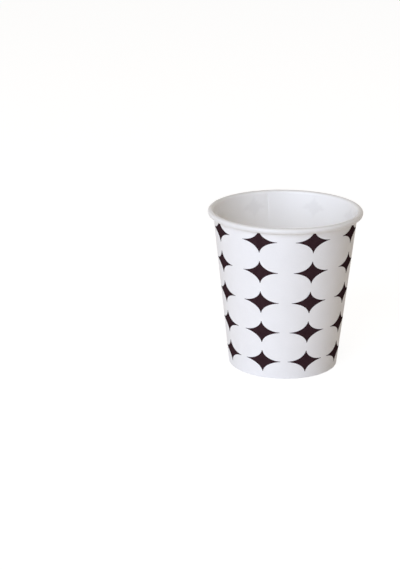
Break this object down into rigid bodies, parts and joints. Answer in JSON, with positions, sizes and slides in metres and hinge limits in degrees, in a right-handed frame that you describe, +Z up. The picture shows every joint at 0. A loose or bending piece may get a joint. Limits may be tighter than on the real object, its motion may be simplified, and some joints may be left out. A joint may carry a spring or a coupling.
{
  "type": "paper cup",
  "caption": "Single-wall paper cup, conical, with a rolled rim, a lapped side seam, a recessed bottom disc in a folded foot and a print of dark stars with hollow sides.",
  "frame": {"origin": "centre of the foot, on the surface that the cup stands on", "axes": "+Z up along the cup's axis, towards the rim; +Y towards the side seam"},
  "size_m": [0.073, 0.073, 0.076],
  "materials": {
    "wall_board": "smooth white cup board, matt outside, thin clear lining with a soft sheen inside",
    "disc_board": "smooth white cup board with a thin clear lining on top",
    "ink": "matt brown-black printing ink"
  },
  "bodies": {
    "root": {"side_wall": "wall_board", "bottom_disc": "disc_board", "star_print": "ink"}
  },
  "joints": []
}
